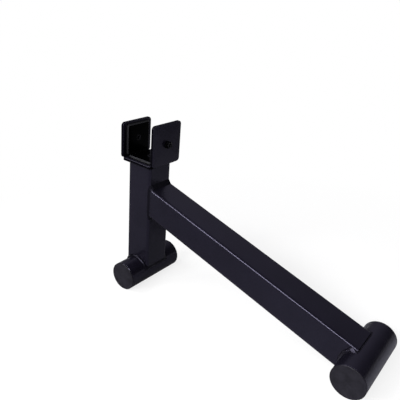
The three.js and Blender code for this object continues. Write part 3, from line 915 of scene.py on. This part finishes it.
def thread_on(name, place, start, replaced):
    blank = bpy.data.meshes.new(name + "_blank")
    inputs = {"Finish": fastener_steel}
    thread = made_by_nodes(
        name, blank, screw_thread, inputs, replaced, smooth=30
    )
    thread.data.transform(place @ Matrix.Translation((0, 0, start)))
    return thread


washer_bottom = PLATE + JOINT_GAP
nut_bottom = washer_bottom + WASHER_THICKNESS + JOINT_GAP
nut_top = nut_bottom + NUT_HEIGHT
countersunk_screw(
    "base_pad_screw",
    base_seat,
    PLATE - LINER_FACE + SCREW_PROTRUSION,
    "base_liner_screw",
)
for ear in ear_heights:
    seat = ear_seat(ear)
    length = nut_top - LINER_FACE + SCREW_PROTRUSION
    countersunk_screw(ear + "_pad_screw", seat, length, ear + "_liner_screw")
    thread_on(ear + "_screw_thread", seat, nut_top - THREAD_IN_NUT, ear + "_liner_screw")
    flat_washer(ear + "_plain_washer", seat, washer_bottom, ear + "_washer")
    hexagon_nut(ear + "_hexagon_nut", seat, nut_bottom, ear + "_nut")

# Floor and light. A pale floor lies under the jack in soft studio light: a square lamp at the left,
# a long low one in front, a weak one at the right, and a wide dim glow high up behind. The floor is
# white to the camera and in far reflections, and keeps a faint shadow under the jack. In near
# reflections and bounced light it is matt grey, lighter round a spot past the far foot: a painted
# pool of light.
FLOOR_REACH = 6.0
SHADOW_REACH = 0.75
MIRRORED_REACH = 4.0
SHADOW_DEPTH = 0.2
FADE_START_SHARE = 0.4
LIGHT_POOL_CENTRE = (0.36, 0, 0)
LIGHT_POOL_REACH = 0.15
OUTER_REACH = 0.62
LIGHT_POOL_COLOUR = (0.47, 0.47, 0.52, 1)
OUTER_COLOUR = (0.2, 0.2, 0.22, 1)
WHITE = (1, 1, 1, 1)
WINDOW_LEVEL = 0.42
WINDOW_COLOUR = (0.86, 0.83, 1.0, 1)
WINDOW_SIDE = (-0.3, 0.6, 0.74)
WINDOW_SHARPNESS = 4.0
SWEEP_TOP = 0.08
LAMP_TARGET = (0, 0, 0.1)


def vector_maths(tree, kind, first, second=(0, 0, 0)):
    made = tree.nodes.new("ShaderNodeVectorMath")
    made.operation = kind
    tree.links.new(first, made.inputs[0])
    made.inputs[1].default_value = second
    return made.outputs["Value"]


def seen_directly(tree, rays, *kinds):
    """1 for the kinds of ray that should see the white background, otherwise 0."""
    total = rays.outputs[kinds[0]]
    for kind in kinds[1:]:
        total = maths(tree, "MAXIMUM", total, rays.outputs[kind])
    return total


def mixed_shaders(tree, share, first, second):
    """Two shaders mixed, with a share of the second."""
    mixed = node(tree, "ShaderNodeMixShader", Fac=share)
    tree.links.new(first.outputs[0], mixed.inputs[1])
    tree.links.new(second.outputs[0], mixed.inputs[2])
    return mixed


floor_mesh = bpy.data.meshes.new("studio_floor")
corners = ((-1, -1), (1, -1), (1, 1), (-1, 1))
corners = [(x * FLOOR_REACH, y * FLOOR_REACH, 0) for x, y in corners]
floor_mesh.from_pydata(corners, [], [(0, 1, 2, 3)])
studio_floor = linked_object("studio_floor", floor_mesh)
floor_paint = bpy.data.materials.new("floor_paint")
floor_paint.use_nodes = True
tree = floor_paint.node_tree
tree.nodes.clear()
rays = tree.nodes.new("ShaderNodeLightPath")
place = tree.nodes.new("ShaderNodeTexCoord").outputs["Object"]
# Painted pool of light: the matt floor is lighter near a spot past the far foot.
painted_light_pool = node(
    tree, "ShaderNodeValToRGB", Fac=vector_maths(tree, "DISTANCE", place, LIGHT_POOL_CENTRE)
)
stops = painted_light_pool.color_ramp.elements
stops[0].position, stops[1].position = LIGHT_POOL_REACH, OUTER_REACH
stops[0].color, stops[1].color = LIGHT_POOL_COLOUR, OUTER_COLOUR
matt = node(tree, "ShaderNodeBsdfDiffuse", Color=painted_light_pool.outputs["Color"])
shaded = node(tree, "ShaderNodeBsdfDiffuse", Color=(SHADOW_DEPTH, SHADOW_DEPTH, SHADOW_DEPTH, 1))
glow = node(tree, "ShaderNodeEmission", Color=WHITE, Strength=1 - SHADOW_DEPTH)
near_white = tree.nodes.new("ShaderNodeAddShader")
tree.links.new(shaded.outputs[0], near_white.inputs[0])
tree.links.new(glow.outputs[0], near_white.inputs[1])
plain_white = node(tree, "ShaderNodeEmission", Color=WHITE, Strength=1.0)
reach = span(tree, rays.outputs["Is Glossy Ray"], SHADOW_REACH, MIRRORED_REACH)
shares = maths(tree, "DIVIDE", vector_maths(tree, "LENGTH", place), reach)
beyond = node(tree, "ShaderNodeMapRange", Value=shares, From_Min=FADE_START_SHARE).outputs["Result"]
near = mixed_shaders(tree, rays.outputs["Is Camera Ray"], matt, near_white)
white = mixed_shaders(tree, beyond, near, plain_white)
ray_kinds = ("Is Camera Ray", "Is Glossy Ray", "Is Transmission Ray")
seen = mixed_shaders(tree, seen_directly(tree, rays, *ray_kinds), matt, white)
tree.links.new(seen.outputs[0], tree.nodes.new("ShaderNodeOutputMaterial").inputs["Surface"])
floor_mesh.materials.append(floor_paint)

world = bpy.data.worlds.new("studio")
world.use_nodes = True
bpy.context.scene.world = world
tree = world.node_tree
tree.nodes.clear()
rays = tree.nodes.new("ShaderNodeLightPath")
place = tree.nodes.new("ShaderNodeTexCoord").outputs["Generated"]
facing = span(tree, vector_maths(tree, "DOT_PRODUCT", place, WINDOW_SIDE), 0.0, 1.0)
level = span(tree, maths(tree, "POWER", facing, WINDOW_SHARPNESS), 0.0, WINDOW_LEVEL)
room = node(tree, "ShaderNodeBackground", Color=WINDOW_COLOUR, Strength=level)
backdrop = node(tree, "ShaderNodeBackground", Color=WHITE, Strength=1.0)
height = node(tree, "ShaderNodeSeparateXYZ", Vector=place).outputs["Z"]
low_down = node(tree, "ShaderNodeMapRange", Value=height, From_Min=SWEEP_TOP, From_Max=0.0)
reflected = seen_directly(tree, rays, "Is Glossy Ray", "Is Transmission Ray")
in_sweep = maths(tree, "MULTIPLY", low_down.outputs["Result"], reflected)
shown = maths(tree, "MAXIMUM", in_sweep, rays.outputs["Is Camera Ray"])
seen = mixed_shaders(tree, shown, room, backdrop)
tree.links.new(seen.outputs[0], tree.nodes.new("ShaderNodeOutputWorld").inputs["Surface"])


def soft_lamp(name, location, width, depth, power):
    lamp = bpy.data.lights.new(name, "AREA")
    lamp.shape = "RECTANGLE"
    lamp.size = width
    lamp.size_y = depth
    lamp.energy = power
    lamp_object = linked_object(name, lamp)
    lamp_object.location = location
    aim = Vector(LAMP_TARGET) - Vector(location)
    lamp_object.rotation_euler = aim.to_track_quat("-Z", "Y").to_euler()


soft_lamp("left_lamp", (-1.2, -0.9, 1.7), width=0.9, depth=0.9, power=27)
soft_lamp("front_lamp", (-0.1, -2.4, 1.65), width=2.2, depth=0.5, power=110)
soft_lamp("side_lamp", (2.0, 0.5, 1.3), width=1.2, depth=1.2, power=13)

# Camera. It stands in front of the jack's long side, turned towards the arm's end and looking down
# on it, and the frame is square.
CAMERA_PLACE = (0.353918, -0.560351, 0.471938)
CAMERA_RIGHT = (0.786491, 0.617518, 0.010202)
CAMERA_DOWN = (0.238952, -0.289021, -0.927022)
CAMERA_FORWARD = (-0.569504, 0.731532, -0.374870)
SENSOR_WIDTH = 36
FOCAL_LENGTH = 43.29
NEAR_CLIP = 0.05
FAR_CLIP = 30
camera_data = bpy.data.cameras.new("camera")
camera_data.sensor_width = SENSOR_WIDTH
camera_data.lens = FOCAL_LENGTH
camera_data.clip_start, camera_data.clip_end = NEAR_CLIP, FAR_CLIP
camera = linked_object("camera", camera_data)
turn = Matrix((CAMERA_RIGHT, -Vector(CAMERA_DOWN), -Vector(CAMERA_FORWARD))).transposed()
camera.matrix_world = Matrix.Translation(CAMERA_PLACE) @ turn.to_4x4()
bpy.context.scene.camera = camera
bpy.context.scene.view_settings.view_transform = "Standard"
